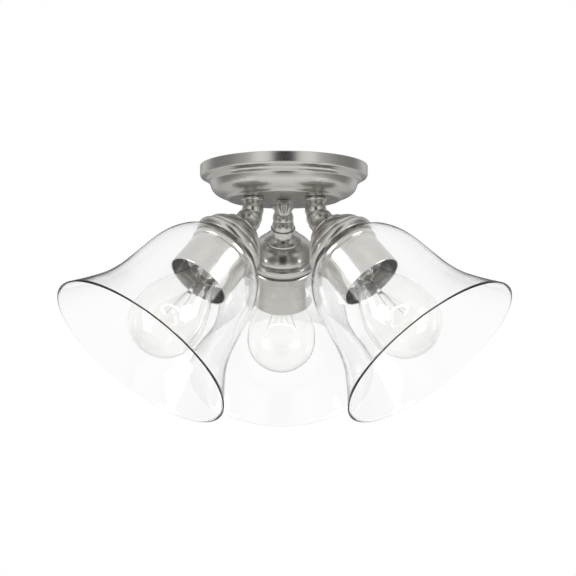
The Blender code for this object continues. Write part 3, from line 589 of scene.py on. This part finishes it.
half_span = 12.8
bow_depth = 9.2
filament_drop = 112.6
steps_between = 28
for name, place in lights.items():
    outside = [Vector(point) for point in bulb_neck[:-1]] + flowing(bulb_side)[:-1]
    outside += [Vector(point) for point in bulb_round]
    inside = inner_wall(outside, 0.7, 0.7)
    tip = [Vector((0, 151.8)), Vector((0, 151.1))]
    globe = lathe("globe " + name, outside + tip + inside[::-1], sides=112)
    piece("globe_" + name, globe, LAMP_GLASS, "lamp_" + name, ["bulb_glass_" + name], place)

    work = bmesh.new()
    sides = 96
    rows = 90
    grid = []
    for wall in (0.0, 0.35):
        for row in range(rows + 1):
            share_down = row / rows if wall == 0.0 else 1 - row / rows
            drop = 47.6 + 23.1 * share_down
            ring = []
            for side in range(sides):
                angle = math.tau * side / sides
                wave = math.sin(math.tau * (drop / thread_pitch) - angle)
                plain = min(1.0, max(0.0, (drop - 49.5) / 2), max(0.0, (68.5 - drop) / 2))
                radius = 12.75 + 0.25 * wave * plain - wall
                if drop < 49.6:
                    radius -= 3.4 * ((49.6 - drop) / 2.0) ** 2
                ring.append(
                    work.verts.new((radius * MM * math.cos(angle), radius * MM * math.sin(angle), -drop * MM))
                )
            grid.append(ring)
    for upper, lower in zip(grid, grid[1:] + grid[:1]):
        for side in range(sides):
            nxt = (side + 1) % sides
            work.faces.new((upper[side], lower[side], lower[nxt], upper[nxt]))
    bmesh.ops.recalc_face_normals(work, faces=work.faces)
    cap = bpy.data.meshes.new("cap " + name)
    work.to_mesh(cap)
    work.free()
    cap.shade_smooth()
    piece("cap_" + name, cap, CAP, "lamp_" + name, ["bulb_cap_" + name], place)

    stem_shape = [
        (0.0, 65.4, 0.0), (11.0, 65.4, 0.2), (11.0, 66.3, 0.3), (6.4, 68.6, 2.0), (3.4, 73.0, 2.0),
        (2.9, 76.5, 0.8), (1.1, 78.6, 0.8), (1.05, 86.6, 0.4), (1.7, 87.4, 0.5), (2.2, 88.8, 0.8),
        (1.5, 90.6, 0.8), (0.0, 91.0, 0.0),
    ]
    stem = lathe("stem glass " + name, rounded(stem_shape), sides=32, closed=False)
    piece("stem_glass_" + name, stem, LAMP_GLASS, "lamp_" + name, ["bulb_stem_" + name], place)

    wires = bmesh.new()
    coil_ends = []
    for side in (-1, 1):
        way = [(3.9, 72.5), (3.6, 77.0), (6.8, 90.0), (12.8, 112.4)]
        route = [Vector((side * p.x * MM, 0, -p.y * MM)) for p in flowing(way)]
        coil_ends.append(route[-1])
        part = tube("lead-in", route, 0.28 * MM)
        scratch = bpy.data.meshes.new("scratch")
        part.to_mesh(scratch)
        part.free()
        wires.from_mesh(scratch)
        bpy.data.meshes.remove(scratch)
    for turn in (30, 90, 150):
        angle = math.radians(turn)
        far = Vector((8.6 * math.cos(angle), 9.0 * abs(math.sin(angle)), -112.4)) * MM
        near = Vector((1.0 * math.cos(angle), 1.0 * math.sin(angle), -88.8)) * MM
        part = tube("support", [near, near.lerp(far, 0.5), far], 0.13 * MM, sides=5)
        scratch = bpy.data.meshes.new("scratch")
        part.to_mesh(scratch)
        part.free()
        wires.from_mesh(scratch)
        bpy.data.meshes.remove(scratch)
    wire_mesh = bpy.data.meshes.new("wires " + name)
    wires.to_mesh(wire_mesh)
    wires.free()
    wire_mesh.shade_smooth()
    piece(
        "wires_" + name, wire_mesh, WIRE, "lamp_" + name, ["bulb_filament_" + name], place
    )

    bow = []
    for turn in range(0, 181, 20):
        angle = math.radians(turn)
        bow.append(Vector((half_span * math.cos(angle), bow_depth * math.sin(angle), -filament_drop)))
    line = []
    for a, b in zip(bow, bow[1:]):
        for step in range(steps_between):
            line.append(a.lerp(b, step / steps_between))
    route = []
    for i, point in enumerate(line):
        angle = math.tau * i / 6
        route.append((point + Vector((0, 0.35 * math.cos(angle), 0.35 * math.sin(angle)))) * MM)
    part = tube("coil", route, 0.09 * MM, sides=4)
    coil = bpy.data.meshes.new("coil " + name)
    part.to_mesh(coil)
    part.free()
    coil.shade_smooth()
    coil.transform(place)
    glowing = bpy.data.objects.new("filament_coil_" + name, coil)
    bpy.context.scene.collection.objects.link(glowing)
    coil.materials.append(GLOW)
    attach(glowing, "lamp_" + name)

# ---- Fixings and wiring ----------------------------------------------------------------------------
# The pieces that the ceiling and the canopy hide keep the frame's shapes: zinc-plated steel, the leads
# with their two wire nuts, and the contacts in the lampholders and under the lamps.

ZINC = speckled("zinc plate", (0.66, 0.67, 0.69), 0.36, metallic=1.0, spread=0.08, scale=160.0)
GREEN = speckled("green plated steel", (0.08, 0.32, 0.12), 0.4, metallic=0.7, spread=0.1)
BLACK_COVER = speckled("black insulation", (0.03, 0.03, 0.032), 0.42, spread=0.2)
WHITE_COVER = speckled("white insulation", (0.80, 0.80, 0.78), 0.42, spread=0.04)
ORANGE = speckled("orange moulding", (0.82, 0.30, 0.05), 0.4, spread=0.06)
VITRITE = speckled("black glass", (0.02, 0.02, 0.024), 0.12, spread=0.1)
SOLDER = speckled("solder", (0.55, 0.55, 0.56), 0.4, metallic=1.0, spread=0.08)

plain_finishes = {
    "crossbar": ZINC, "ground_screw": GREEN, "threaded_rod": ZINC,
    "rod_locknut": ZINC, "arm_nut": ZINC, "centre_contact": BRASS, "lead_live": BLACK_COVER,
    "lead_neutral": WHITE_COVER, "wire_nut": ORANGE, "bulb_insulator": VITRITE, "bulb_contact": SOLDER,
}
for node, thing in frame["nodes"].items():
    fitting = [start for start in plain_finishes if node.startswith(start)]
    if fitting:
        finish = plain_finishes[max(fitting, key=len)]
        for slot in thing.material_slots:
            slot.material = finish
